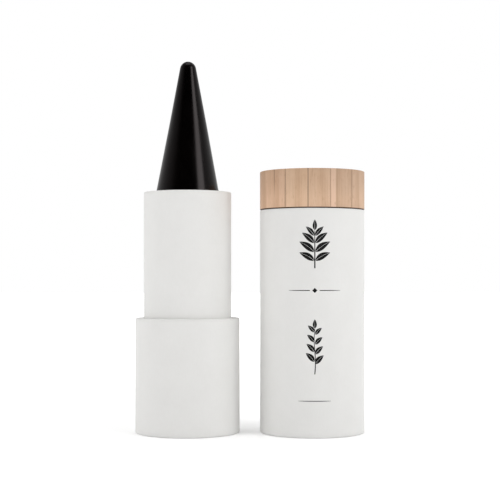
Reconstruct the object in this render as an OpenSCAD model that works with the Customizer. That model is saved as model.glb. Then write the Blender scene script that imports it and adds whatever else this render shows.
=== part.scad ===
// Twist-up kohl stick in a wrapped paper tube, with its wooden-topped cap standing beside it.
// Millimetres. The origin is the centre of the base's foot, +Z is up and -Y is the front.
// The stick is drawn wound out. Turning the neck anticlockwise, seen from above, winds it in.

/* [Kohl stick] */
// Diameter of the moulded stick
kohl_d = 12.7; // [10:0.1:18]
// Height of the cone above the mouth of the neck, wound out
cone_h = 26.4; // [18:0.1:36]
// Radius of the cone's rounded tip
tip_r = 1.6; // [0.6:0.1:2.4]

/* [Twist mechanism] */
// Height of the cup that carries the stick
cup_h = 10; // [7:0.1:14]
// Wall of the cup
cup_wall = 0.4; // [0.3:0.05:0.8]
// Floor of the cup
cup_floor = 0.8; // [0.4:0.1:1.6]
// Radius of the hole in the cup's floor, which keys the cast stick
floor_hole_r = 2.2; // [1:0.1:3.5]
// Diameter of the cup's two lugs
lug_d = 2; // [1.2:0.1:2.6]
// Height of the lugs' centres above the underside of the cup
lug_up = 1.6; // [1.4:0.1:3]
// Wall of the slotted guide tube
guide_wall = 0.45; // [0.3:0.05:0.8]
// Wall of the spiral sleeve
spiral_wall = 0.65; // [0.4:0.05:1.2]
// Rise of the spiral in one turn
spiral_lead = 18; // [12:0.5:30]
// Thickness of the guide tube's flange, which the spiral sleeve turns on
flange_t = 1; // [0.6:0.1:2]
// Thickness of the guide tube's top lip, which keeps the spiral sleeve on
lip_t = 0.6; // [0.4:0.1:1.2]
// Height of the thickened foot of the guide tube, which seats the brake ring
brake_seat_h = 3.2; // [2.4:0.1:5]
// Thickness of the brake ring's cord
brake_cord_d = 0.86; // [0.6:0.02:1.2]

/* [Base] */
// Height of the base
base_h = 23; // [18:0.1:32]
// Depth of the recess under the base
foot_recess = 1; // [0.4:0.1:2]
// Thickness of the paperboard bottom disc
disc_t = 1.2; // [0.6:0.1:2]
// Thickness of the blank round label under the disc
label_t = 0.1; // [0.05:0.01:0.3]
// Bare margin round the label
label_margin = 1; // [0.5:0.1:3]
// Height of the plastic insert that holds the mechanism
insert_h = 3.8; // [3:0.1:6]
// Wall of the insert
insert_wall = 1; // [0.6:0.1:1.6]
// Number of ribs in the insert
insert_ribs = 8; // [4:1:12]
// Radius of the guide tube's stem, without its splines
stem_r = 4.6; // [3.5:0.1:5]
// Number of splines on the stem
spline_count = 12; // [6:1:16]

/* [Paper tubes] */
// Thickness of the white wrapping paper
wrap_t = 0.15; // [0.1:0.01:0.2]
// Wall of the neck's board tube
neck_board_t = 0.6; // [0.4:0.05:1.2]
// Wall of the cap's board tube
cap_board_t = 0.9; // [0.7:0.05:1.5]
// Wall of the cap's liner
liner_t = 0.5; // [0.3:0.05:1]
// Rounding where the wrapping paper is folded over a tube's end
edge_r = 0.3; // [0.22:0.01:0.4]
// Height of the collar that centres the neck in the base
collar_h = 2; // [1:0.1:4]

/* [Cap] */
// Room in the cap above the neck
cap_headroom = 14.4; // [8:0.1:30]
// Height of the wooden head
wood_h = 7.7; // [4:0.1:14]
// Height of the wooden spigot inside the cap
spigot_h = 5; // [3:0.1:8]
// Width of the strips that the wooden head is laminated from
strip_w = 4.35; // [3:0.05:5]
// Place of the second glue line from the left, measured from the cap's axis
strip_shift = -1.3; // [-2:0.05:0]
// Height of the liner's end above the mouth of the cap
liner_up = 0.6; // [0.3:0.1:3]
// Clear distance between the base and the cap standing beside it
stand_gap = 4.1; // [2:0.1:20]

/* [Clearances] */
// Stick in the cup
cup_gap = 0.05; // [0.02:0.01:0.1]
// Cup in the guide tube, and guide tube in the spiral sleeve
slide_gap = 0.05; // [0.02:0.01:0.1]
// Each side of a lug in its slots
lug_gap = 0.1; // [0.05:0.01:0.2]
// End play of the turning neck, above and below
end_play = 0.1; // [0.05:0.01:0.2]
// Glued joints
glue_gap = 0.05; // [0.02:0.01:0.1]
// Neck's collar in the base
collar_gap = 0.05; // [0.02:0.01:0.1]
// Neck in the mouth of the base
mouth_gap = 0.25; // [0.15:0.01:0.5]
// Cap's liner over the neck
cap_gap = 0.1; // [0.05:0.01:0.2]

/* [Hidden] */
$fn = 96;
over = 1; // reach of a cutting shape past what it cuts
arc_steps = 6;
tip_steps = 14;
spiral_step = 10; // degrees
strip_count = 5;
spigot_chamfer = 0.4;

// Radii, from the stick outwards
kohl_r = kohl_d / 2;
cup_in_r = kohl_r + cup_gap;
cup_r = cup_in_r + cup_wall;
guide_in_r = cup_r + slide_gap;
guide_r = guide_in_r + guide_wall;
spiral_in_r = guide_r + slide_gap;
spiral_r = spiral_in_r + spiral_wall;
neck_in_r = spiral_r + glue_gap;
neck_board_r = neck_in_r + neck_board_t;
neck_r = neck_board_r + wrap_t;
liner_in_r = neck_r + cap_gap;
liner_r = liner_in_r + liner_t;
cap_in_r = liner_r + glue_gap;
board_r = cap_in_r + cap_board_t;
tube_r = board_r + wrap_t;
base_in_r = neck_r + mouth_gap;
insert_r = base_in_r - glue_gap;
spigot_r = cap_in_r - glue_gap;
lug_reach = spiral_r - lug_gap;
lip_r = spiral_r - lug_gap;

// Heights of the base and the mechanism, from the floor up
disc_z = foot_recess;
insert_z = disc_z + disc_t;
insert_top = insert_z + insert_h;
flange_top = insert_top + flange_t;
spiral_z = flange_top + end_play;
seat_top = flange_top + brake_seat_h;
rim_drop = 0.35; // guide tube below the neck's top
cup_drop = 0.5; // cup below the neck's top, wound out
tip_drop = 0.6; // tip below the neck's top, wound in
cup_stop = 0.5; // cup above its seat, wound in
collar_drop = 0.1; // collar below the mouth of the base
cone_drop = 0.1; // foot of the cone below the neck's top, wound out
travel = cone_h + tip_drop;
cup_low = seat_top + cup_stop;
cup_z = cup_low + travel;
neck_top = cup_z + cup_h + cup_drop;
guide_top = neck_top - rim_drop;
spiral_top = guide_top - lip_t - end_play;
lug_z = cup_z + lug_up;
collar_top = base_h - collar_drop;
cone_z = neck_top - cone_drop;
tip_z = neck_top + cone_h;
neck_h = neck_top - base_h;

// Heights of the cap, standing on its mouth
cap_h = neck_h + cap_headroom + spigot_h;
spigot_z = cap_h - spigot_h;
wood_top_z = cap_h + wood_h;
cap_x = 2 * tube_r + stand_gap;

// Slots, splines and brake
slot_w = lug_d + 2 * lug_gap;
slot_end = slot_w / 2 + lug_gap;
spiral_turn = 360 * travel / spiral_lead;
spiral_mid_r = (spiral_in_r + spiral_r) / 2;
spiral_angle = atan(spiral_lead / (2 * PI * spiral_mid_r));
slot_rise = slot_w / cos(spiral_angle);
collar_bite = 0.3; // depth that the spiral slots reach into the collar
spline_h = 0.5;
spline_w = 0.9;
spline_root = 0.4;
spline_inset = 0.2; // splines above the stem's end, and into the flange
stem_wall = 1.2;
stem_up = 0.2; // stem above the bottom disc
tube_floor = 0.8;
hub_wall = 1.2;
rib_w = 0.8;
brake_z = flange_top + brake_seat_h / 2;
brake_gap = 0.02; // between the brake ring and the sleeve's bore
brake_play = 0.12; // beside the brake ring in its groove
brake_seat_r = spiral_in_r - brake_gap - brake_cord_d;
brake_groove_w = brake_cord_d + 2 * brake_play;
brake_seat_wall = 0.6;

echo(tube_d = 2 * tube_r, neck_d = 2 * neck_r, neck_top = neck_top, tip_z = tip_z);
echo(neck_h = neck_h, cap_h = cap_h, wood_top_z = wood_top_z, cap_x = cap_x);
echo(travel = travel, spiral_turn = spiral_turn, lug_z = lug_z, liner_in_r = liner_in_r);

// Points of an arc in the plane of a profile
function arc(centre, r, from, to, steps = arc_steps) =
    [for (i = [0:steps])
        let (a = from + (to - from) * i / steps)
        centre + r * [cos(a), sin(a)]];

// A plain tube
module tube(r_in, r_out, z0, z1) {
    translate([0, 0, z0])
        difference() {
            cylinder(r = r_out, h = z1 - z0);
            translate([0, 0, -over]) cylinder(r = r_in, h = z1 - z0 + 2 * over);
        }
}

// A board tube whose outer edges are rounded where the wrapping paper folds over them
module board_tube(r_in, r_out, z0, z1, round_foot = true) {
    r = edge_r - wrap_t;
    foot = round_foot ? arc([r_out - r, z0 + r], r, -90, 0) : [[r_out, z0]];
    head = arc([r_out - r, z1 - r], r, 0, 90);
    rotate_extrude() polygon(concat([[r_in, z0]], foot, head, [[r_in, z1]]));
}

// Wrapping paper round a board tube, folded over its ends as far as the tube's bore
module wrap_tube(r_in, r_out, z0, z1, fold_foot = true) {
    low = [r_out - edge_r, z0 + edge_r];
    high = [r_out - edge_r, z1 - edge_r];
    inner = edge_r - wrap_t;
    foot_out = fold_foot ? concat([[r_in, z0]], arc(low, edge_r, -90, 0)) : [[r_out, z0]];
    foot_in = fold_foot
        ? concat(arc(low, inner, 0, -90), [[r_in, z0 + wrap_t]])
        : [[r_out - wrap_t, z0]];
    head_out = concat(arc(high, edge_r, 0, 90), [[r_in, z1]]);
    head_in = concat([[r_in, z1 - wrap_t]], arc(high, inner, 90, 0));
    rotate_extrude() polygon(concat(foot_out, head_out, head_in, foot_in));
}

// Radial teeth round the stem, or the grooves for them when grown by a clearance
module splines(z0, z1, grow = 0) {
    for (i = [0:spline_count - 1])
        rotate([0, 0, i * 360 / spline_count])
            translate([stem_r - spline_root, -spline_w / 2 - grow, z0])
                cube([spline_root + spline_h + grow, spline_w + 2 * grow, z1 - z0]);
}

// A spiral slot, cut right through the sleeve, that falls from the lug's place wound out
module spiral_slot() {
    steps = ceil(spiral_turn / spiral_step);
    r0 = spiral_in_r - over;
    r1 = spiral_r + collar_bite;
    ring = [[r0, -slot_rise / 2], [r1, -slot_rise / 2], [r1, slot_rise / 2], [r0, slot_rise / 2]];
    points = [for (i = [0:steps], p = ring)
        let (a = spiral_turn * i / steps)
        [p.x * cos(a), -p.x * sin(a), lug_z - spiral_lead * a / 360 + p.y]];
    sides = [for (i = [0:steps - 1], k = [0:3])
        let (a = 4 * i + k, b = 4 * i + (k + 1) % 4)
        each [[a, b + 4, b], [a, a + 4, b + 4]]];
    last = 4 * steps;
    ends = [[0, 1, 2], [0, 2, 3], [last, last + 2, last + 1], [last, last + 3, last + 2]];
    polyhedron(points, concat(sides, ends), convexity = 10);
    for (a = [0, spiral_turn])
        rotate([0, 0, -a])
            translate([r0, 0, lug_z - spiral_lead * a / 360])
                rotate([0, 90, 0]) cylinder(d = slot_w, h = r1 - r0);
}

// An upright slot through the guide tube
module guide_slot() {
    low = lug_z - travel - slot_end + slot_w / 2;
    high = lug_z + slot_end - slot_w / 2;
    x0 = guide_in_r - over;
    long = guide_wall + 2 * over;
    translate([x0, -slot_w / 2, low]) cube([long, slot_w, high - low]);
    for (z = [low, high])
        translate([x0, 0, z]) rotate([0, 90, 0]) cylinder(d = slot_w, h = long);
}

// Base

module base_board() {
    color([0.78, 0.75, 0.69]) board_tube(base_in_r, board_r, wrap_t, base_h - wrap_t);
}

module base_wrap() {
    color([0.93, 0.93, 0.92]) wrap_tube(base_in_r, tube_r, 0, base_h);
}

module bottom_disc() {
    color([0.86, 0.84, 0.80]) translate([0, 0, disc_z]) cylinder(r = insert_r, h = disc_t);
}

module bottom_label() {
    color([0.95, 0.95, 0.94])
        translate([0, 0, disc_z - label_t]) cylinder(r = insert_r - label_margin, h = label_t);
}

module base_insert() {
    hub_r = stem_r + spline_h + hub_wall;
    color([0.88, 0.88, 0.87]) difference() {
        union() {
            tube(insert_r - insert_wall, insert_r, insert_z, insert_top);
            tube(hub_r - hub_wall, hub_r, insert_z, insert_top);
            tube(hub_r - hub_wall, insert_r, insert_top - insert_wall, insert_top);
            for (i = [0:insert_ribs - 1])
                rotate([0, 0, (i + 0.5) * 360 / insert_ribs])
                    translate([hub_r - hub_wall / 2, -rib_w / 2, insert_z])
                        cube([insert_r - hub_r, rib_w, insert_h]);
        }
        translate([0, 0, insert_z - over]) cylinder(r = stem_r + glue_gap, h = insert_h + 2 * over);
        splines(insert_z - over, insert_top + over, glue_gap);
    }
}

// Mechanism

module guide_tube() {
    stem_z = insert_z + stem_up;
    floor_z = flange_top - tube_floor;
    seat_in_r = brake_seat_r - brake_seat_wall;
    groove_low = brake_z - brake_groove_w / 2;
    groove_high = brake_z + brake_groove_w / 2;
    lip_z = guide_top - lip_t;
    profile = [
        [0, floor_z], [stem_r - stem_wall, floor_z], [stem_r - stem_wall, stem_z],
        [stem_r, stem_z], [stem_r, insert_top], [spiral_r, insert_top],
        [spiral_r, flange_top], [guide_r, flange_top],
        [guide_r, groove_low], [brake_seat_r, groove_low],
        [brake_seat_r, groove_high], [guide_r, groove_high],
        [guide_r, lip_z], [lip_r, lip_z], [lip_r, guide_top], [guide_in_r, guide_top],
        [guide_in_r, seat_top], [seat_in_r, seat_top], [seat_in_r, flange_top], [0, flange_top]
    ];
    color([0.90, 0.90, 0.88]) {
        difference() {
            rotate_extrude() polygon(profile);
            for (a = [0, 180]) rotate([0, 0, a]) guide_slot();
        }
        splines(stem_z + spline_inset, insert_top + spline_inset);
    }
}

module brake_ring() {
    color([0.22, 0.22, 0.23])
        translate([0, 0, brake_z])
            rotate_extrude()
                translate([brake_seat_r + brake_cord_d / 2, 0]) circle(d = brake_cord_d);
}

// Neck

module spiral_sleeve() {
    color([0.84, 0.85, 0.86]) difference() {
        union() {
            translate([0, 0, spiral_z]) cylinder(r = spiral_r, h = spiral_top - spiral_z);
            translate([0, 0, collar_top - collar_h])
                cylinder(r = base_in_r - collar_gap, h = collar_h);
        }
        translate([0, 0, spiral_z - over])
            cylinder(r = spiral_in_r, h = spiral_top - spiral_z + 2 * over);
        for (a = [0, 180]) rotate([0, 0, a]) spiral_slot();
    }
}

module neck_board() {
    color([0.78, 0.75, 0.69])
        board_tube(neck_in_r, neck_board_r, collar_top, neck_top - wrap_t, round_foot = false);
}

module neck_wrap() {
    color([0.93, 0.93, 0.92])
        wrap_tube(neck_in_r, neck_r, collar_top, neck_top, fold_foot = false);
}

// Stick and its cup

module carrier_cup() {
    color([0.90, 0.90, 0.88]) {
        difference() {
            translate([0, 0, cup_z]) cylinder(r = cup_r, h = cup_h);
            translate([0, 0, cup_z + cup_floor]) cylinder(r = cup_in_r, h = cup_h);
            translate([0, 0, cup_z - over]) cylinder(r = floor_hole_r, h = cup_floor + 2 * over);
        }
        for (a = [0, 180])
            rotate([0, 0, a])
                intersection() {
                    translate([cup_in_r + cup_wall / 2, 0, lug_z])
                        rotate([0, 90, 0]) cylinder(d = lug_d, h = lug_reach);
                    translate([0, 0, cup_z]) cylinder(r = lug_reach, h = cup_h);
                }
    }
}

module kohl_stick() {
    // The cone's side leaves the full diameter at cone_z and meets the tip's circle as a tangent.
    tip_centre = tip_z - tip_r;
    reach = norm([kohl_r, tip_centre - cone_z]);
    side_angle = atan(kohl_r / (tip_centre - cone_z)) - asin(tip_r / reach);
    foot_z = cup_z + cup_floor;
    color([0.09, 0.08, 0.08]) {
        rotate_extrude()
            polygon(concat(
                [[0, foot_z], [kohl_r, foot_z], [kohl_r, cone_z]],
                arc([0, tip_centre], tip_r, side_angle, 90, tip_steps)));
        translate([0, 0, cup_z]) cylinder(r = floor_hole_r - cup_gap, h = cup_floor + over);
    }
}

// Cap

module cap_board() {
    color([0.78, 0.75, 0.69])
        translate([cap_x, 0, 0]) board_tube(cap_in_r, board_r, wrap_t, cap_h - wrap_t);
}

module cap_wrap() {
    color([0.93, 0.93, 0.92]) translate([cap_x, 0, 0]) wrap_tube(cap_in_r, tube_r, 0, cap_h);
}

module cap_liner() {
    color([0.91, 0.90, 0.87])
        translate([cap_x, 0, 0]) tube(liner_in_r, liner_r, liner_up, spigot_z - glue_gap);
}

// Turned head of the cap and its spigot, as one outline
module wood_blank() {
    foot_cut = 0.2;
    top_r = 0.15;
    profile = concat(
        [[0, spigot_z], [spigot_r - spigot_chamfer, spigot_z], [spigot_r, spigot_z + spigot_chamfer]],
        [[spigot_r, cap_h], [tube_r - foot_cut, cap_h], [tube_r, cap_h + foot_cut]],
        arc([tube_r - top_r, wood_top_z - top_r], top_r, 0, 90),
        [[0, wood_top_z]]);
    rotate_extrude() polygon(profile);
}

// One of the glued strips that the head is turned from, counted from the left
module wood_strip(i) {
    x0 = i == 1 ? -tube_r - over : strip_shift + (i - 3) * strip_w + glue_gap / 2;
    x1 = i == strip_count ? tube_r + over : strip_shift + (i - 2) * strip_w - glue_gap / 2;
    color([0.83, 0.68, 0.56])
        translate([cap_x, 0, 0])
            intersection() {
                wood_blank();
                translate([x0, -tube_r - over, 0])
                    cube([x1 - x0, 2 * (tube_r + over), wood_top_z + over]);
            }
}

base_board();
base_wrap();
bottom_disc();
bottom_label();
base_insert();
guide_tube();
brake_ring();
spiral_sleeve();
neck_board();
neck_wrap();
carrier_cup();
kohl_stick();
cap_board();
cap_wrap();
cap_liner();
for (i = [1:strip_count])
    wood_strip(i);
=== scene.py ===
import math

import bmesh
import bpy
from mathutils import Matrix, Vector, noise


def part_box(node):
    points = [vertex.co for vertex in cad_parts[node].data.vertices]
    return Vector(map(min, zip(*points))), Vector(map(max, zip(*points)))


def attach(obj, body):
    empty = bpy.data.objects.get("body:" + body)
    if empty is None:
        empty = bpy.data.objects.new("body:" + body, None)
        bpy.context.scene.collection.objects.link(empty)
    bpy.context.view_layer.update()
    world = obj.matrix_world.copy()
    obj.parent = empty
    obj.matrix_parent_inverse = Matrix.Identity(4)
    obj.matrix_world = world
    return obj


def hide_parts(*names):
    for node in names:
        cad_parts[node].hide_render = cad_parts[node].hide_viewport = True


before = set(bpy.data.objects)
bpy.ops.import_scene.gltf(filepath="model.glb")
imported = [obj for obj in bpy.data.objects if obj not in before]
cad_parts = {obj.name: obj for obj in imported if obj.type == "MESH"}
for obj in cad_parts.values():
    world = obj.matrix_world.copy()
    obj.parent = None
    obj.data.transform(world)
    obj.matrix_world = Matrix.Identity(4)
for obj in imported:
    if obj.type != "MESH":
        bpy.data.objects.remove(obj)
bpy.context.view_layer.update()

MM = 0.001
TURN = 2 * math.pi

# Sizes taken from the frame
base_lo, base_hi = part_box("base_wrap")
neck_lo, neck_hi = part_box("neck_wrap")
cap_lo, cap_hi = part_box("cap_wrap")
stick_lo, stick_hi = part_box("kohl_stick")
head_lo, head_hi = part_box("wood_strip_3")
board_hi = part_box("base_board")[1]
liner_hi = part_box("cap_liner")[1]

tube_r = base_hi.x
neck_r = neck_hi.x
cap_x = cap_hi.x - tube_r
wrap_t = tube_r - board_hi.x
kohl_r = stick_hi.x
spigot_z = head_lo.z
head_foot_z = cap_hi.z
head_top_z = head_hi.z
head_h = head_top_z - head_foot_z

# Sizes of the construction that a box doesn't give
MOUTH_GAP = 0.25 * MM
GLUE_GAP = 0.05 * MM
EDGE_R = 0.2 * MM
NECK_BOARD_T = 0.6 * MM
TIP_R = 1.64 * MM
CONE_DROP = 0.1 * MM
CUP_FLOOR = 0.8 * MM
FLOOR_HOLE_R = 2.15 * MM
FOOT_CUT = 0.2 * MM
HEAD_EDGE_R = 0.15 * MM
SPIGOT_CHAMFER = 0.4 * MM
STRIP_BEVEL = 0.03 * MM
GLUE_HALF_T = 0.4 * GLUE_GAP
GLUE_INSET = 0.015 * MM

base_in_r = neck_r + MOUTH_GAP
neck_in_r = neck_r - wrap_t - NECK_BOARD_T
cap_in_r = liner_hi.x - cap_x + GLUE_GAP
spigot_r = cap_in_r - GLUE_GAP

# The paper's lap: how far it stands proud, its width, the ease of its far side, and half the angle,
# in radians, that its edge takes
LAP_T = 0.08 * MM
LAP_W = 5 * MM
LAP_EASE = 1.2 * MM
LAP_EDGE_ANGLE = 0.0012

# The paper's slow wave: its least depth, how much deeper it gets, and its scale round the tube and up it
PAPER_SKIN = 0.006 * MM
PAPER_WAVE = 0.012 * MM
PAPER_WAVE_SCALE = (2.2, 160)

# The stick's slow wave, its lean at the tip, and the radius round the axis that stays even
STICK_WAVE = 0.018 * MM
STICK_WAVE_SCALE = (1.3, 90)
STICK_LEAN = 0.09 * MM
TIP_SMOOTH_R = 0.4 * MM

# Fineness of the meshes: columns round a circle, steps of an arc or cone, and steps up a wall
PAPER_COLUMNS = 360
HEAD_COLUMNS = 360
STICK_COLUMNS = 240
GLUE_COLUMNS = 180
EDGE_STEPS = 8
TIP_STEPS = 18
FLANK_STEPS = 60
PAPER_STEP = 0.8 * MM
HEAD_STEP = 1 * MM
STICK_STEP = 2 * MM


# Shader helpers

def new_material(name):
    """A new material, its node tree and its Principled shader."""
    material = bpy.data.materials.new(name)
    material.use_nodes = True
    return material, material.node_tree, material.node_tree.nodes["Principled BSDF"]


def add(tree, kind, values=None, **settings):
    """A node with its settings and the values or links of its inputs."""
    made = tree.nodes.new(kind)
    for key, value in settings.items():
        setattr(made, key, value)
    for key, value in (values or {}).items():
        if isinstance(value, bpy.types.NodeSocket):
            tree.links.new(value, made.inputs[key])
        else:
            made.inputs[key].default_value = value
    return made


def object_place(tree):
    return add(tree, "ShaderNodeTexCoord").outputs["Object"]


def axes_of(tree, vector):
    """The X, Y and Z outputs of a vector."""
    return add(tree, "ShaderNodeSeparateXYZ", {"Vector": vector}).outputs


def scaled(tree, place, scale, shift=(0, 0, 0)):
    mapping = add(tree, "ShaderNodeMapping", {"Vector": place, "Scale": scale, "Location": shift})
    return mapping.outputs["Vector"]


def noise_at(tree, place, scale, detail=4.0, roughness=0.5, distortion=0.0):
    values = {"Vector": place, "Scale": scale, "Detail": detail, "Roughness": roughness,
              "Distortion": distortion}
    return add(tree, "ShaderNodeTexNoise", values).outputs["Fac"]


def math_node(tree, operation, *values):
    made = add(tree, "ShaderNodeMath", operation=operation)
    for socket, value in zip(made.inputs, values):
        if isinstance(value, bpy.types.NodeSocket):
            tree.links.new(value, socket)
        else:
            socket.default_value = value
    return made.outputs[0]


def fading(tree, distance, reach):
    """1 at no distance, falling evenly to 0 at the reach."""
    near = math_node(tree, "SUBTRACT", 1.0, math_node(tree, "DIVIDE", distance, reach))
    return math_node(tree, "MAXIMUM", near, 0.0)


def ramp(tree, factor, stops, smooth=False):
    """A colour ramp with stops of (place, colour), where a colour is one grey or three numbers."""
    made = add(tree, "ShaderNodeValToRGB", {"Fac": factor})
    made.color_ramp.interpolation = "EASE" if smooth else "LINEAR"
    points = made.color_ramp.elements
    while len(points) < len(stops):
        points.new(0.5)
    for point, (place, colour) in zip(points, stops):
        point.position = place
        rgb = (colour, colour, colour) if isinstance(colour, (int, float)) else colour
        point.color = (*rgb, 1)
    return made.outputs["Color"]


def mix_colour(tree, factor, first, second, blend="MIX"):
    made = add(tree, "ShaderNodeMix", data_type="RGBA", blend_type=blend)
    for socket, value in ((made.inputs[0], factor), (made.inputs[6], first), (made.inputs[7], second)):
        if isinstance(value, bpy.types.NodeSocket):
            tree.links.new(value, socket)
        elif isinstance(value, (int, float)):
            socket.default_value = value
        else:
            socket.default_value = (*value, 1)
    return made.outputs[2]


def bump(tree, shader, height, depth, strength=1.0):
    made = add(tree, "ShaderNodeBump", {"Height": height, "Distance": depth, "Strength": strength})
    tree.links.new(made.outputs["Normal"], shader.inputs["Normal"])


def feed(tree, shader, colour, roughness):
    tree.links.new(colour, shader.inputs["Base Color"])
    tree.links.new(roughness, shader.inputs["Roughness"])


# Materials

PAPER_WHITE = (0.800, 0.795, 0.780)
PAPER_SHADE = (0.765, 0.760, 0.743)
LABEL_WHITE = (0.81, 0.805, 0.79)
LABEL_SHADE = (0.775, 0.77, 0.755)


def paper_material(name, light, dark, edge_zs=(), seed=0.0):
    """Smooth white wrapping paper with fine fibres, a little dusty and rubbed near its folded edges."""
    material, tree, shader = new_material(name)
    place = object_place(tree)
    shifted = scaled(tree, place, (1, 1, 1), (seed, seed, 0))
    fibre = noise_at(tree, scaled(tree, shifted, (1, 1, 0.45)), 2600, 6, 0.62, 0.6)
    mottle = noise_at(tree, shifted, 190, 3, 0.55)
    tone = math_node(tree, "MULTIPLY_ADD", fibre, 0.45, math_node(tree, "MULTIPLY", mottle, 0.55))
    colour = ramp(tree, tone, [(0.3, dark), (0.7, light)])
    up = axes_of(tree, place)["Z"]
    reach = math_node(tree, "MULTIPLY_ADD", mottle, 1.1 * MM, 0.1 * MM)
    rubbed = 0.0
    for z in edge_zs:
        away = math_node(tree, "ABSOLUTE", math_node(tree, "SUBTRACT", up, z))
        rubbed = math_node(tree, "MAXIMUM", rubbed, fading(tree, away, reach))
    amount = math_node(tree, "MULTIPLY", rubbed, 0.45)
    colour = mix_colour(tree, amount, colour, tuple(0.9 * c for c in dark))
    feed(tree, shader, colour, ramp(tree, fibre, [(0.3, 0.5), (0.7, 0.64)]))
    shader.inputs["Specular IOR Level"].default_value = 0.35
    bump(tree, shader, fibre, 0.012 * MM, 0.5)
    return material


def board_material():
    """Grey-cream paperboard with long fibres and a few dark flecks."""
    material, tree, shader = new_material("paperboard")
    place = object_place(tree)
    fibre = noise_at(tree, scaled(tree, place, (1, 1, 0.3)), 1900, 6, 0.7, 1.0)
    fleck = noise_at(tree, place, 5200, 2, 0.5)
    colour = ramp(tree, fibre, [(0.25, (0.52, 0.47, 0.39)), (0.75, (0.70, 0.66, 0.58))])
    dark_fleck = ramp(tree, fleck, [(0.66, 0.0), (0.74, 0.35)])
    colour = mix_colour(tree, dark_fleck, colour, (0.36, 0.31, 0.25))
    feed(tree, shader, colour, ramp(tree, fibre, [(0.3, 0.75), (0.7, 0.9)]))
    shader.inputs["Specular IOR Level"].default_value = 0.25
    bump(tree, shader, fibre, 0.03 * MM, 0.6)
    return material


# Height that the seam of the cap's liner climbs in a turn
SEAM_PITCH = 16 * MM


def liner_material():
    """White-lined board of the cap's inner tube, with the helical seam that it is wound with."""
    material, tree, shader = new_material("liner_board")
    place = object_place(tree)
    axes = axes_of(tree, place)
    across = math_node(tree, "SUBTRACT", axes["X"], cap_x)
    turns = math_node(tree, "DIVIDE", math_node(tree, "ARCTAN2", axes["Y"], across), TURN)
    climb = math_node(tree, "DIVIDE", axes["Z"], SEAM_PITCH)
    helix = math_node(tree, "ADD", math_node(tree, "SUBTRACT", climb, turns), 10.0)
    helix = math_node(tree, "FRACT", helix)
    seam = math_node(tree, "ABSOLUTE", math_node(tree, "SUBTRACT", helix, 0.5))
    board = ramp(tree, seam, [(0.0, 0.0), (0.008, 1.0)])
    fibre = noise_at(tree, place, 2400, 5, 0.6, 0.5)
    colour = ramp(tree, fibre, [(0.3, (0.66, 0.65, 0.61)), (0.7, (0.76, 0.75, 0.72))])
    colour = mix_colour(tree, math_node(tree, "SUBTRACT", 1.0, board), colour, (0.38, 0.35, 0.30))
    feed(tree, shader, colour, ramp(tree, fibre, [(0.3, 0.6), (0.7, 0.72)]))
    bump(tree, shader, math_node(tree, "MULTIPLY_ADD", fibre, 0.12, board), 0.04 * MM, 0.6)
    return material


def plastic_material():
    """White moulded plastic with a fine satin grain and faint flow marks."""
    material, tree, shader = new_material("moulded_plastic")
    place = object_place(tree)
    grain = noise_at(tree, place, 4200, 3, 0.5)
    flow = noise_at(tree, scaled(tree, place, (1, 1, 0.15)), 420, 4, 0.6, 0.8)
    colour = ramp(tree, flow, [(0.3, (0.78, 0.78, 0.76)), (0.7, (0.84, 0.84, 0.825))])
    satin = math_node(tree, "MULTIPLY_ADD", grain, 0.4, math_node(tree, "MULTIPLY", flow, 0.6))
    feed(tree, shader, colour, ramp(tree, satin, [(0.3, 0.30), (0.7, 0.42)]))
    bump(tree, shader, grain, 0.004 * MM, 0.5)
    return material


def rubber_material():
    """Dull black rubber with a bloom of mould powder."""
    material, tree, shader = new_material("brake_rubber")
    powder = noise_at(tree, object_place(tree), 1500, 5, 0.6)
    colour = ramp(tree, powder, [(0.45, (0.022, 0.022, 0.024)), (0.8, (0.07, 0.07, 0.07))])
    feed(tree, shader, colour, ramp(tree, powder, [(0.3, 0.7), (0.7, 0.88)]))
    bump(tree, shader, powder, 0.01 * MM, 0.5)
    return material


def kohl_material():
    """Black wax as it leaves the mould: satin, with faint upright draw marks, pin pits and smears."""
    material, tree, shader = new_material("kohl_wax")
    place = object_place(tree)
    draw = noise_at(tree, scaled(tree, place, (1, 1, 0.035)), 1500, 4, 0.6)
    smear = noise_at(tree, scaled(tree, place, (1, 1, 0.5)), 260, 4, 0.6, 0.8)
    pit_values = {"Vector": place, "Scale": 900.0, "Randomness": 1.0}
    pits = add(tree, "ShaderNodeTexVoronoi", pit_values, feature="F1").outputs["Distance"]
    colour = ramp(tree, smear, [(0.35, (0.0004, 0.0002, 0.0002)), (0.75, (0.0010, 0.0006, 0.0006))])
    feed(tree, shader, colour, ramp(tree, smear, [(0.3, 0.17), (0.7, 0.24)]))
    shader.inputs["Specular IOR Level"].default_value = 0.36
    shader.inputs["Specular Tint"].default_value = (1.0, 0.90, 0.90, 1)
    between_pits = ramp(tree, pits, [(0.03, 0.0), (0.14, 1.0)])
    height = math_node(tree, "MULTIPLY_ADD", draw, 0.5, math_node(tree, "MULTIPLY", between_pits, 0.5))
    bump(tree, shader, height, 0.006 * MM, 0.35)
    return material


def ink_material():
    """Black ink that has sunk a little into the paper."""
    material, tree, shader = new_material("black_ink")
    fibre = noise_at(tree, object_place(tree), 2600, 6, 0.62)
    colour = ramp(tree, fibre, [(0.3, (0.005, 0.005, 0.005)), (0.75, (0.014, 0.013, 0.013))])
    feed(tree, shader, colour, ramp(tree, fibre, [(0.3, 0.5), (0.7, 0.65)]))
    shader.inputs["Specular IOR Level"].default_value = 0.15
    bump(tree, shader, fibre, 0.006 * MM, 0.5)
    return material


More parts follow.
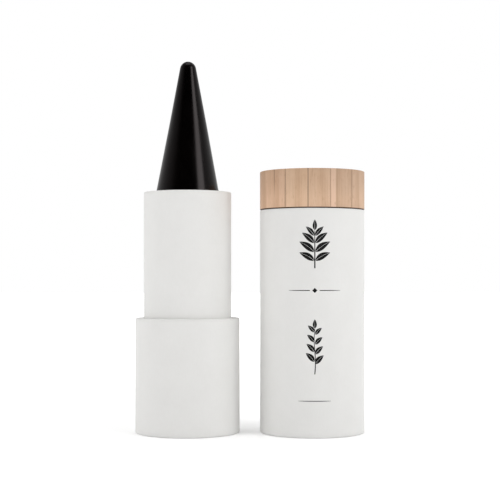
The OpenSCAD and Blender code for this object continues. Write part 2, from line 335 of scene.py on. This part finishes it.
def glue_material(name, tone):
    """Dried glue between two strips. The tone multiplies its colour."""
    material, tree, shader = new_material(name)
    patch = noise_at(tree, scaled(tree, object_place(tree), (1, 1, 0.4)), 900, 4, 0.6)
    dark = [tone * c for c in (0.10, 0.055, 0.032)]
    light = [tone * c for c in (0.21, 0.125, 0.075)]
    colour = ramp(tree, patch, [(0.3, dark), (0.7, light)])
    feed(tree, shader, colour, ramp(tree, patch, [(0.3, 0.5), (0.7, 0.7)]))
    bump(tree, shader, patch, 0.01 * MM, 0.5)
    return material


# How pale each glue line shows, from the left
GLUE_TONES = (1.5, 0.9, 2.1, 1.9)

# Colours of the wood
WOOD_DARK = (0.50, 0.315, 0.205)
WOOD_MIDDLE = (0.605, 0.402, 0.278)
WOOD_LIGHT = (0.700, 0.490, 0.355)
WOOD_PALE = (0.775, 0.53, 0.395)
WOOD_FLECK = (0.40, 0.235, 0.145)
WOOD_PORE = (0.34, 0.20, 0.12)
WOOD_VEIN = (0.20, 0.11, 0.07)
WOOD_STAIN = (0.22, 0.12, 0.075)
# Painted shadow: the dark brown that the head's foot chamfer is painted with, standing for the shadow in
# the groove against the paper
WOOD_FOOT_SHADOW = (0.060, 0.031, 0.018)

# Look of each strip of the head. The tone multiplies its colour, the growth rings are counted from a
# heart that lies far off to the side, in mm from the cap's axis, and the stains lie along its left
# and right glue line. A pale band of sapwood or a dark vein is given by its place from the cap's axis.
STRIPS = {
    "wood_strip_1": {"tone": (1.04, 1.015, 0.98), "heart": (-46, 9), "ring": 3.4, "phase": 0.10,
                     "stains": (0.0, 0.34), "vein": -7.76},
    "wood_strip_2": {"tone": (1.06, 1.07, 1.03), "heart": (30, -58), "ring": 4.2, "phase": 0.55,
                     "stains": (0.30, 0.60)},
    "wood_strip_3": {"tone": (1.005, 1.015, 0.985), "heart": (-52, 34), "ring": 4.6, "phase": 0.30,
                     "stains": (0.42, 0.24)},
    "wood_strip_4": {"tone": (0.915, 0.915, 0.885), "heart": (60, 14), "ring": 4.4, "phase": 0.65,
                     "stains": (0.22, 0.22), "pale": 4.19},
    "wood_strip_5": {"tone": (0.97, 0.985, 0.975), "heart": (-44, -30), "ring": 3.8, "phase": 0.20,
                     "stains": (0.26, 0.0)},
}


def growth_rings(tree, from_axis, y, wander, heart, ring, phase):
    """The season's shade at a point, from its distance to the heart of the tree."""
    dx = math_node(tree, "SUBTRACT", from_axis, heart[0] * MM)
    dy = math_node(tree, "SUBTRACT", y, heart[1] * MM)
    dx_squared = math_node(tree, "MULTIPLY", dx, dx)
    dy_squared = math_node(tree, "MULTIPLY", dy, dy)
    far = math_node(tree, "SQRT", math_node(tree, "ADD", dx_squared, dy_squared))
    rings = math_node(tree, "DIVIDE", far, ring * MM)
    rings = math_node(tree, "ADD", rings, math_node(tree, "MULTIPLY_ADD", wander, 0.9, phase))
    return ramp(tree, math_node(tree, "FRACT", rings),
                [(0.0, 0.40), (0.12, 0.80), (0.60, 0.66), (0.90, 0.34), (1.0, 0.40)])


def wood_material(name, x0, x1, tone, heart, ring, phase, stains, pale=None, vein=None):
    """Bare sanded wood with upright fibres: rings, short ray flecks, pores and stains along the glue."""
    material, tree, shader = new_material(name + "_wood")
    place = object_place(tree)
    axes = axes_of(tree, place)
    from_axis = math_node(tree, "SUBTRACT", axes["X"], cap_x)
    above_foot = math_node(tree, "SUBTRACT", axes["Z"], head_foot_z)
    height = math_node(tree, "DIVIDE", above_foot, head_h)

    wander = noise_at(tree, scaled(tree, place, (1, 1, 0.25)), 130, 3, 0.5)
    blotch = noise_at(tree, scaled(tree, place, (1, 1, 0.7)), 300, 4, 0.6)
    towards_heart = {"Vector": place, "Location": (phase, ring, 0),
                     "Rotation": (0, 0, -math.atan2(-heart[1], -heart[0]))}
    grain = add(tree, "ShaderNodeMapping", towards_heart).outputs["Vector"]
    fibre = noise_at(tree, scaled(tree, grain, (1, 1, 0.03)), 3400, 5, 0.62)
    flecks = noise_at(tree, scaled(tree, grain, (0.04, 1, 0.09)), 9000, 2, 0.5)
    pores = noise_at(tree, scaled(tree, grain, (1, 1, 0.02)), 11000, 1, 0.4)
    season = growth_rings(tree, from_axis, axes["Y"], wander, heart, ring, phase)

    shade = math_node(tree, "MULTIPLY_ADD", fibre, 0.40, math_node(tree, "MULTIPLY", season, 0.34))
    shade = math_node(tree, "MULTIPLY_ADD", blotch, 0.26, shade)
    colour = ramp(tree, shade, [(0.30, WOOD_DARK), (0.50, WOOD_MIDDLE), (0.70, WOOD_LIGHT)])
    if pale is not None:
        edge = math_node(tree, "MULTIPLY_ADD", wander, 0.3 * MM, (pale - 0.15) * MM)
        inside = math_node(tree, "DIVIDE", math_node(tree, "SUBTRACT", edge, from_axis), 0.16 * MM)
        inside = add(tree, "ShaderNodeClamp", {"Value": inside}).outputs[0]
        colour = mix_colour(tree, inside, colour, WOOD_PALE)
    colour = mix_colour(tree, ramp(tree, flecks, [(0.60, 0.0), (0.68, 0.30)]), colour, WOOD_FLECK)
    colour = mix_colour(tree, ramp(tree, pores, [(0.66, 0.0), (0.74, 0.28)]), colour, WOOD_PORE)
    if vein is not None:
        off = math_node(tree, "ABSOLUTE", math_node(tree, "SUBTRACT", from_axis, vein * MM))
        towards_top = ramp(tree, height, [(0.25, 0.15), (0.8, 0.75)], smooth=True)
        line = math_node(tree, "MULTIPLY", fading(tree, off, 0.13 * MM), towards_top)
        colour = mix_colour(tree, line, colour, WOOD_VEIN)

    reach = math_node(tree, "MULTIPLY_ADD", blotch, 0.34 * MM, 0.02 * MM)
    from_left = math_node(tree, "SUBTRACT", axes["X"], x0)
    from_right = math_node(tree, "SUBTRACT", x1, axes["X"])
    for amount, distance in zip(stains, (from_left, from_right)):
        if amount:
            stain = math_node(tree, "MULTIPLY", fading(tree, distance, reach), amount)
            colour = mix_colour(tree, stain, colour, WOOD_STAIN)
    colour = mix_colour(tree, 1.0, colour, tone, "MULTIPLY")
    # Painted light and shade: the wood is made lighter near its foot and darker towards its top, with
    # blotchy bounds
    top_shade = math_node(tree, "MULTIPLY_ADD", blotch, 0.5, math_node(tree, "SUBTRACT", height, 0.25))
    top_shade = ramp(tree, top_shade, [(0.15, 1.04), (0.75, 0.90), (1.0, 0.85)], smooth=True)
    colour = mix_colour(tree, 1.0, colour, top_shade, "MULTIPLY")
    # Painted shadow: the bottom 0.2 mm of the head, its foot chamfer, is painted dark for the shadow in the
    # groove where it meets the paper
    foot = ramp(tree, math_node(tree, "DIVIDE", above_foot, MM), [(0.17, 1.0), (0.25, 0.0)])
    colour = mix_colour(tree, foot, colour, WOOD_FOOT_SHADOW)

    feed(tree, shader, colour, ramp(tree, fibre, [(0.3, 0.5), (0.7, 0.66)]))
    shader.inputs["Specular IOR Level"].default_value = 0.3
    relief = math_node(tree, "MULTIPLY_ADD", fibre, 0.6, math_node(tree, "MULTIPLY", pores, -0.3))
    bump(tree, shader, relief, 0.02 * MM, 0.5)
    return material


# Mesh helpers

def arc(centre, r, from_deg, to_deg, steps):
    """Points of an arc in the plane of an outline, where a point is (radius, height)."""
    points = []
    for i in range(steps + 1):
        a = math.radians(from_deg + (to_deg - from_deg) * i / steps)
        points.append((centre[0] + r * math.cos(a), centre[1] + r * math.sin(a)))
    return points


def wall(r, z0, z1, step):
    """Points up or down a straight wall, without its two ends."""
    count = max(1, round(abs(z1 - z0) / step))
    return [(r, z0 + (z1 - z0) * i / count) for i in range(1, count)]


def finish_mesh(mesh, body, replaces, material, crease_deg=40):
    """Makes a piece of a mesh: shading, finish and body, and hides the node that it stands for."""
    mesh.shade_smooth()
    mesh.set_sharp_from_angle(angle=math.radians(crease_deg))
    mesh.materials.append(material)
    piece = bpy.data.objects.new(mesh.name, mesh)
    bpy.context.scene.collection.objects.link(piece)
    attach(piece, body)
    if replaces:
        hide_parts(replaces)
    return piece


def revolved(name, outline, centre_x, angles, closed=False, swell=None):
    """A mesh turned about an upright axis from an outline that is closed, or starts and ends on the axis.

    swell(angle, r, z) gives how far a point moves outwards.
    """
    mesh = bpy.data.meshes.new(name)
    work = bmesh.new()
    columns = []
    poles = {}
    for a in angles:
        column = []
        for k, (r, z) in enumerate(outline):
            if r <= 0:
                if k not in poles:
                    poles[k] = work.verts.new((centre_x, 0, z))
                column.append(poles[k])
                continue
            out = r + (swell(a, r, z) if swell else 0)
            column.append(work.verts.new((centre_x + out * math.cos(a), out * math.sin(a), z)))
        columns.append(column)
    rows = len(outline)
    for i, here in enumerate(columns):
        there = columns[(i + 1) % len(columns)]
        for k in range(rows if closed else rows - 1):
            ring = [here[k], there[k], there[(k + 1) % rows], here[(k + 1) % rows]]
            unique = [v for n, v in enumerate(ring) if v not in ring[:n]]
            if len(unique) > 2:
                work.faces.new(unique)
    bmesh.ops.recalc_face_normals(work, faces=work.faces)
    work.to_mesh(mesh)
    work.free()
    return mesh


def wave_at(angle, z, scale, seed=0.0):
    """Slow noise over a tube, from about -1 to 1, without a step where the circle closes."""
    round_scale, up_scale = scale
    place = (math.cos(angle) * round_scale + seed, math.sin(angle) * round_scale, z * up_scale)
    return noise.noise(Vector(place))


def round_angles(count, lap=None):
    """Even angles round a circle, with a close pair at the edge of the paper's lap, if there is one."""
    angles = [TURN * i / count for i in range(count)]
    if lap is None:
        return angles
    angles = [a for a in angles if abs(a - lap) > 0.25 * TURN / count]
    return sorted(angles + [lap - LAP_EDGE_ANGLE, lap + LAP_EDGE_ANGLE])


# Paper tubes

def paper_swell(r_out, lap, seed):
    """The lap, which stands proud, and the wave of the paper, which stays inside the outer radius."""
    def swell(angle, r, z):
        if r < r_out - EDGE_R:
            return 0.0
        outer = min(1.0, (r - (r_out - EDGE_R)) / EDGE_R)
        wave = min(1.0, max(-1.0, wave_at(angle, z, PAPER_WAVE_SCALE, seed)))
        off = -(PAPER_SKIN + PAPER_WAVE * (1 + wave) / 2) * outer
        past = ((lap - angle) % TURN) * r_out
        if past < LAP_W:
            ease = min(1.0, (LAP_W - past) / LAP_EASE)
            off += LAP_T * outer * ease * ease * (3 - 2 * ease)
        return off
    return swell


def paper_tube(body, r_in, r_out, z0, z1, lap_deg, tint_seed, wave_seed, centre_x=0, foot=True):
    """Wrapping paper round a board tube, folded in over its top and, where it has a foot, its bottom."""
    inner = EDGE_R - wrap_t
    low = (r_out - EDGE_R, z0 + EDGE_R)
    high = (r_out - EDGE_R, z1 - EDGE_R)
    if foot:
        outline = [(r_in, z0), (r_in + (low[0] - r_in) / 2, z0)] + arc(low, EDGE_R, -90, 0, EDGE_STEPS)
    else:
        outline = [(r_out, z0)]
    outline += wall(r_out, outline[-1][1], high[1], PAPER_STEP)
    outline += arc(high, EDGE_R, 0, 90, EDGE_STEPS)
    outline += [(r_in + (high[0] - r_in) / 2, z1), (r_in, z1), (r_in, z1 - wrap_t)]
    outline += arc(high, inner, 90, 0, EDGE_STEPS)
    if foot:
        outline += arc(low, inner, 0, -90, EDGE_STEPS) + [(r_in, z0 + wrap_t)]
    else:
        outline += [(r_out - wrap_t, z0)]
    name = body + "_paper"
    lap = math.radians(lap_deg)
    mesh = revolved(name, outline, centre_x, round_angles(PAPER_COLUMNS, lap), closed=True,
                    swell=paper_swell(r_out, lap, wave_seed))
    paper = paper_material(name, PAPER_WHITE, PAPER_SHADE, (z0, z1) if foot else (z1,), tint_seed)
    return finish_mesh(mesh, body, body + "_wrap", paper)


def build_paper():
    paper_tube("base", base_in_r, tube_r, base_lo.z, base_hi.z,
               lap_deg=128, tint_seed=0.13, wave_seed=1.0)
    paper_tube("neck", neck_in_r, neck_r, neck_lo.z, neck_hi.z,
               lap_deg=61, tint_seed=0.37, wave_seed=2.0, foot=False)
    paper_tube("cap", cap_in_r, tube_r, cap_lo.z, cap_hi.z,
               lap_deg=55, tint_seed=0.71, wave_seed=3.0, centre_x=cap_x)


# Kohl stick

def build_stick():
    """The cast stick: key, cylinder and long cone with a round tip. It is slightly uneven and leans."""
    foot_z = stick_lo.z + CUP_FLOOR
    cone_z = neck_hi.z - CONE_DROP
    tip_z = stick_hi.z - TIP_R
    slant = math.hypot(kohl_r, tip_z - cone_z)
    side = math.degrees(math.atan(kohl_r / (tip_z - cone_z)) - math.asin(TIP_R / slant))
    tip = arc((0, tip_z), TIP_R, side, 90, TIP_STEPS)
    flank = [(kohl_r + (tip[0][0] - kohl_r) * i / FLANK_STEPS,
              cone_z + (tip[0][1] - cone_z) * i / FLANK_STEPS) for i in range(1, FLANK_STEPS)]
    outline = [(0, stick_lo.z), (FLOOR_HOLE_R, stick_lo.z), (FLOOR_HOLE_R, foot_z), (kohl_r, foot_z)]
    outline += wall(kohl_r, foot_z, cone_z, STICK_STEP) + [(kohl_r, cone_z)] + flank + tip
    outline[-1] = (0, stick_hi.z)

    def swell(angle, r, z):
        if z < cone_z or r < TIP_SMOOTH_R:
            return 0.0
        return -STICK_WAVE * (0.5 + 0.5 * wave_at(angle, z, STICK_WAVE_SCALE))

    mesh = revolved("kohl_cone", outline, 0, round_angles(STICK_COLUMNS), swell=swell)
    for v in mesh.vertices:
        rise = min(1.0, max(0.0, (v.co.z - cone_z) / (0.5 * (stick_hi.z - cone_z))))
        v.co.x += STICK_LEAN * rise
    return finish_mesh(mesh, "carrier", "kohl_stick", kohl_material(), crease_deg=30)


# Wooden head

def head_outline():
    """Half section of the turned head and its spigot, from the spigot's middle up to the top's middle."""
    top = arc((tube_r - HEAD_EDGE_R, head_top_z - HEAD_EDGE_R), HEAD_EDGE_R, 0, 90, EDGE_STEPS)
    return ([(0, spigot_z), (spigot_r - SPIGOT_CHAMFER, spigot_z),
             (spigot_r, spigot_z + SPIGOT_CHAMFER), (spigot_r, head_foot_z),
             (tube_r - FOOT_CUT, head_foot_z), (tube_r, head_foot_z + FOOT_CUT)]
            + wall(tube_r, head_foot_z + FOOT_CUT, head_top_z - HEAD_EDGE_R, HEAD_STEP)
            + top + [(0, head_top_z)])


def cut_off(work, x, side, tolerance):
    """Cuts off what lies past an upright plane, on its left at side -1 or its right at side 1.

    Closes the cut and gives the faces that close it.
    """
    geometry = list(work.verts) + list(work.edges) + list(work.faces)
    cut = bmesh.ops.bisect_plane(work, geom=geometry, plane_co=(x, 0, 0), plane_no=(side, 0, 0),
                                 clear_outer=True, dist=tolerance)
    rim = [e for e in cut["geom_cut"] if isinstance(e, bmesh.types.BMEdge) and e.is_boundary]
    return bmesh.ops.edgeloop_fill(work, edges=rim)["faces"]


def cut_to_strip(mesh, x0, x1):
    """Leaves the part of the head between two upright planes, with the cut edges broken."""
    work = bmesh.new()
    work.from_mesh(mesh)
    for x, side in ((x0, -1), (x1, 1)):
        if x is not None:
            faces = cut_off(work, x, side, tolerance=1e-7)
            edges = [e for f in faces for e in f.edges]
            bmesh.ops.bevel(work, geom=edges, offset=STRIP_BEVEL, segments=2, profile=0.5, affect="EDGES")
    bmesh.ops.recalc_face_normals(work, faces=work.faces)
    work.to_mesh(mesh)
    work.free()


def build_glue_line(number, x, tone):
    """A sheet of glue between two strips, set a little behind the surface of the wood."""
    outline = [(max(0, r - GLUE_INSET), z) for r, z in head_outline()]
    mesh = revolved(f"glue_line_{number}", outline, cap_x, round_angles(GLUE_COLUMNS))
    work = bmesh.new()
    work.from_mesh(mesh)
    for side in (-1, 1):
        cut_off(work, x + side * GLUE_HALF_T, side, tolerance=1e-8)
    for v in work.verts:
        v.co.z = min(v.co.z, head_top_z - GLUE_INSET)
    bmesh.ops.recalc_face_normals(work, faces=work.faces)
    work.to_mesh(mesh)
    work.free()
    finish_mesh(mesh, "cap", None, glue_material(f"wood_glue_{number}", tone), crease_deg=35)


def build_head():
    nodes = list(STRIPS)
    for node, look in STRIPS.items():
        lo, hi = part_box(node)
        name = node.replace("strip", "piece")
        mesh = revolved(name, head_outline(), cap_x, round_angles(HEAD_COLUMNS))
        cut_to_strip(mesh, None if node == nodes[0] else lo.x, None if node == nodes[-1] else hi.x)
        wood = wood_material(node, lo.x, hi.x, **look)
        finish_mesh(mesh, "cap", node, wood, crease_deg=35)
    for number, (node, tone) in enumerate(zip(nodes, GLUE_TONES), 1):
        build_glue_line(number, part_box(node)[1].x + GLUE_GAP / 2, tone)


# Ornament on the cap, in black ink on the paper: a leafy sprig, a divider, a twig and a short rule.
# Places are in mm: sideways from the middle of the front along the paper, and up from the floor.

# The ink lies just inside the tube's radius, which leaves it just proud of the paper's wave
INK_R = tube_r - 0.001 * MM

# The sprig: foot and top of its stem, and (height, angle, length) of each pair of leaves
SPRIG_STEM = (32.9, 40.2)
SPRIG_LEAVES = ((34.4, 28, 3.3), (36.1, 34, 3.5), (37.8, 40, 3.1), (39.2, 48, 2.4))

# The twig: foot and top of its stem, then its pairs of leaves: how many, the height of the lowest, the
# step to the next, how much higher the left leaf sits, the length of the lowest and what each next loses
TWIG_STEM = (12.4, 21.2)
TWIG_PAIRS = 4
TWIG_FIRST_Z = 14.4
TWIG_PITCH = 1.9
TWIG_OFFSET = 0.45
TWIG_LEAF = 2.35
TWIG_LEAF_LESS = 0.18

DIVIDER_Z = 28.6
RULE_Z = 7.2


def strip_on_cap(work, left, right, across=4):
    """Quads between two rows of (sideways, height) points, laid on the cap's paper."""
    rows = []
    for a, b in zip(left, right):
        row = []
        for k in range(across + 1):
            turn = (a[0] + (b[0] - a[0]) * k / across) * MM / tube_r
            z = (a[1] + (b[1] - a[1]) * k / across) * MM
            row.append(work.verts.new((cap_x + INK_R * math.sin(turn), -INK_R * math.cos(turn), z)))
        rows.append(row)
    for low, high in zip(rows, rows[1:]):
        for k in range(across):
            work.faces.new((low[k], low[k + 1], high[k + 1], high[k]))


def leaf(work, root, angle_deg, length, slim, vein_w, curl=0.05):
    """A pointed leaf in two halves, with the bare vein between them."""
    steps = 20
    a = math.radians(angle_deg)
    along = (math.cos(a), math.sin(a))
    beside = (-math.sin(a), math.cos(a))
    bend = curl * length * (1 if angle_deg < 90 else -1)
    for side in (-1, 1):
        inner, outer = [], []
        for i in range(steps + 1):
            t = i / steps
            half = slim / 2 * length * math.sin(math.pi * t ** 0.8) ** 0.9
            vein = min(vein_w / 2 * (1 - 0.6 * t), half)
            for row, w in ((inner, vein), (outer, half)):
                off = side * w + bend * math.sin(math.pi * t)
                row.append((root[0] + along[0] * length * t + beside[0] * off,
                            root[1] + along[1] * length * t + beside[1] * off))
        if side > 0:
            strip_on_cap(work, outer, inner)
        else:
            strip_on_cap(work, inner, outer)


def leaf_pair(work, z_right, z_left, root, angle_deg, length, slim, vein_w):
    """Two leaves that leave a stem to its right and left, root to the side of its middle."""
    leaf(work, (root, z_right), angle_deg, length, slim, vein_w)
    leaf(work, (-root, z_left), 180 - angle_deg, length, slim, vein_w)


def stem(work, z0, z1, foot_w, top_w, sway=0.0):
    """An upright stem that gets thinner upwards and may sway to both sides."""
    steps = 40
    left, right = [], []
    for i in range(steps + 1):
        t = i / steps
        s = sway * math.sin(math.pi * 2 * t)
        half = (foot_w + (top_w - foot_w) * t) / 2
        left.append((s - half, z0 + (z1 - z0) * t))
        right.append((s + half, z0 + (z1 - z0) * t))
    strip_on_cap(work, left, right, 1)


def rule(work, z, half_w, thick, gap=0.0):
    """A thin line across the front, whose ends taper, with an optional gap in its middle."""
    steps = 24
    for side in (-1, 1):
        low, high = [], []
        for i in range(steps + 1):
            t = i / steps
            s = side * (gap + (half_w - gap) * t)
            half = thick / 2 * (1 - 0.7 * t ** 3)
            low.append((s, z - half))
            high.append((s, z + half))
        strip_on_cap(work, low, high, 1)


def lozenge(work, s, z, w, h):
    strip_on_cap(work, [(s, z - h / 2), (s - w / 2, z), (s, z + h / 2)],
                 [(s, z - h / 2), (s + w / 2, z), (s, z + h / 2)])


def build_ornament():
    mesh = bpy.data.meshes.new("cap_ornament")
    work = bmesh.new()
    stem(work, *SPRIG_STEM, foot_w=0.26, top_w=0.12)
    for z, angle, length in SPRIG_LEAVES:
        leaf_pair(work, z, z, 0.12, angle, length, slim=0.37, vein_w=0.06)
    leaf(work, (0, SPRIG_STEM[1] + 0.05), 90, 2.1, slim=0.40, vein_w=0.06, curl=0.0)
    rule(work, DIVIDER_Z, half_w=5.2, thick=0.16, gap=0.95)
    lozenge(work, 0, DIVIDER_Z, w=1.0, h=1.0)
    stem(work, *TWIG_STEM, foot_w=0.2, top_w=0.1, sway=0.12)
    for i in range(TWIG_PAIRS):
        z = TWIG_FIRST_Z + TWIG_PITCH * i
        length = TWIG_LEAF - TWIG_LEAF_LESS * i
        leaf_pair(work, z, z + TWIG_OFFSET, 0.08, 45, length, slim=0.44, vein_w=0.05)
    leaf(work, (0, TWIG_STEM[1] + 0.05), 90, 1.8, slim=0.44, vein_w=0.05, curl=0.0)
    rule(work, RULE_Z, half_w=3.2, thick=0.14)
    bmesh.ops.remove_doubles(work, verts=work.verts, dist=1e-7)
    bmesh.ops.dissolve_degenerate(work, dist=1e-7, edges=work.edges)
    for face in work.faces:
        middle = face.calc_center_median()
        if face.normal.dot(Vector((middle.x - cap_x, middle.y, 0))) < 0:
            face.normal_flip()
    work.to_mesh(mesh)
    work.free()
    return finish_mesh(mesh, "cap", None, ink_material())


# CAD nodes that keep their shape

def dress_nodes():
    board = board_material()
    plastic = plastic_material()
    looks = {
        "base_board": board, "neck_board": board, "cap_board": board, "bottom_disc": board,
        "bottom_label": paper_material("label_paper", LABEL_WHITE, LABEL_SHADE, seed=0.55),
        "cap_liner": liner_material(),
        "base_insert": plastic, "guide_tube": plastic, "spiral_sleeve": plastic, "carrier_cup": plastic,
        "brake_ring": rubber_material(),
    }
    for node, material in looks.items():
        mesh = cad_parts[node].data
        mesh.materials.clear()
        mesh.materials.append(material)


# Stage

FLOOR_SIZE = 4.0
FLOOR_DROP = 0.02 * MM

# Level of the light from all round: at the sides, its rise towards the back, and what the top adds
TENT_SIDE = 0.28
TENT_SLOPE = 0.49
TENT_TOP = 1.61

# What gloss sees round the object, as (place, level), from 0 at the viewer's side to 1 at the back
GLOSS_PANELS = [(0.17, 0.0), (0.25, 0.08), (0.32, 0.17), (0.48, 0.27), (0.69, 0.42), (0.94, 0.60),
                (0.98, 0.65), (0.992, 1.0)]

# Lamps: how far off they stand, and the height that they face
LAMP_DISTANCE = 0.60
LAMP_AIM_Z = 0.035

# The camera: pixels to a metre at the tubes' axes, the photograph's width, the column of the base's
# axis, the row of the eye's level, the eye's place, and the sensor's width in mm
PX_PER_METRE = 4960.0
FRAME_PX = 500
BASE_AXIS_PX = 187.6
HORIZON_PX = 276.0
EYE_DISTANCE = 0.250
EYE_Z = 0.0314
SENSOR_MM = 36


def build_floor():
    """A white floor that shows brighter away from the object, and keeps the object's shadow."""
    half = FLOOR_SIZE / 2
    corners = [(-half, -half, 0), (half, -half, 0), (half, half, 0), (-half, half, 0)]
    mesh = bpy.data.meshes.new("floor")
    mesh.from_pydata(corners, [], [(0, 1, 2, 3)])
    floor = bpy.data.objects.new("floor", mesh)
    bpy.context.scene.collection.objects.link(floor)
    floor.location.z = -FLOOR_DROP
    material, tree, shader = new_material("floor_white")
    shader.inputs["Base Color"].default_value = (0.86, 0.86, 0.86, 1)
    shader.inputs["Roughness"].default_value = 0.9
    shader.inputs["Specular IOR Level"].default_value = 0.0
    shader.inputs["Emission Color"].default_value = (1, 1, 1, 1)
    path = add(tree, "ShaderNodeLightPath").outputs
    seen = math_node(tree, "MAXIMUM", path["Is Camera Ray"], path["Is Glossy Ray"])
    seen = math_node(tree, "MAXIMUM", seen, path["Is Transmission Ray"])
    away = add(tree, "ShaderNodeVectorMath", {0: object_place(tree)}, operation="LENGTH")
    glow = ramp(tree, away.outputs["Value"], [(0.02, 0.2), (0.10, 0.4), (0.35, 1.0)])
    tree.links.new(math_node(tree, "MULTIPLY", seen, glow), shader.inputs["Emission Strength"])
    mesh.materials.append(material)


def build_world():
    """Light that grows towards the back and the top. The camera sees plain white, and gloss sees panels."""
    world = bpy.data.worlds.new("studio")
    bpy.context.scene.world = world
    world.use_nodes = True
    tree = world.node_tree
    axes = axes_of(tree, add(tree, "ShaderNodeTexCoord").outputs["Generated"])
    walls = math_node(tree, "MULTIPLY_ADD", axes["Y"], TENT_SLOPE, TENT_SIDE)
    top = math_node(tree, "POWER", math_node(tree, "MAXIMUM", axes["Z"], 0.0), 5.0)
    level = math_node(tree, "MULTIPLY_ADD", top, TENT_TOP, math_node(tree, "MAXIMUM", walls, 0.0))
    light = tree.nodes["Background"]
    light.inputs["Strength"].default_value = 1.0
    tree.links.new(level, light.inputs["Color"])

    panels = ramp(tree, math_node(tree, "MULTIPLY_ADD", axes["Y"], 0.5, 0.5), GLOSS_PANELS)
    below_top = ramp(tree, axes["Z"], [(0.4, 1.0), (0.8, 0.5)])
    on_right = ramp(tree, axes["X"], [(0.2, 0.0), (0.4, 1.0)])
    overhead = ramp(tree, axes["Z"], [(0.88, 0.0), (0.95, 1.0)])
    gloss = math_node(tree, "MULTIPLY", panels, math_node(tree, "MAXIMUM", below_top, on_right))
    gloss = math_node(tree, "MAXIMUM", gloss, overhead)

    path = add(tree, "ShaderNodeLightPath").outputs
    clear = math_node(tree, "MAXIMUM", path["Is Camera Ray"], path["Is Transmission Ray"])
    shown_colour = math_node(tree, "MAXIMUM", gloss, clear)
    shown = add(tree, "ShaderNodeBackground", {"Color": shown_colour, "Strength": 1.0})
    seen = math_node(tree, "MAXIMUM", clear, path["Is Glossy Ray"])
    mix = add(tree, "ShaderNodeMixShader", {0: seen, 1: light.outputs[0], 2: shown.outputs[0]})
    tree.links.new(mix.outputs[0], tree.nodes["World Output"].inputs["Surface"])


def area_light(name, azimuth, elevation, size, power, in_gloss=True):
    """A soft box that faces the object. Azimuth 0 is the viewer's side and 90 is on the right."""
    a, e = math.radians(azimuth), math.radians(elevation)
    away = Vector((math.sin(a) * math.cos(e), -math.cos(a) * math.cos(e), math.sin(e)))
    data = bpy.data.lights.new(name, "AREA")
    data.shape = "RECTANGLE"
    data.size = size[0]
    data.size_y = size[1]
    data.energy = power
    light = bpy.data.objects.new(name, data)
    light.location = Vector((cap_x / 2, 0, LAMP_AIM_Z)) + away * LAMP_DISTANCE
    light.rotation_euler = (-away).to_track_quat("-Z", "Y").to_euler()
    light.visible_glossy = in_gloss
    bpy.context.scene.collection.objects.link(light)


def build_lights():
    """One strip on the right that shows in the wax, and three fills that gloss doesn't see."""
    area_light("strip_right", 57, 18, size=(0.26, 0.50), power=0.94)
    area_light("fill_right", 60, 10, size=(0.50, 0.40), power=1.11, in_gloss=False)
    area_light("fill_left", -60, 10, size=(0.50, 0.40), power=1.52, in_gloss=False)
    area_light("fill_front", -38, 40, size=(0.30, 0.30), power=0.40, in_gloss=False)


def build_camera():
    data = bpy.data.cameras.new("camera")
    data.sensor_width = SENSOR_MM
    data.lens = SENSOR_MM * PX_PER_METRE * EYE_DISTANCE / FRAME_PX
    data.shift_y = (HORIZON_PX - FRAME_PX / 2) / FRAME_PX
    data.clip_start = 0.01
    data.clip_end = 20
    camera = bpy.data.objects.new("camera", data)
    camera.location = ((FRAME_PX / 2 - BASE_AXIS_PX) / PX_PER_METRE, -EYE_DISTANCE, EYE_Z)
    camera.rotation_euler = (math.radians(90), 0, 0)
    bpy.context.scene.collection.objects.link(camera)
    bpy.context.scene.camera = camera


build_camera()
build_paper()
build_stick()
build_head()
build_ornament()
dress_nodes()
build_floor()
build_world()
build_lights()
bpy.context.scene.view_settings.view_transform = "Standard"
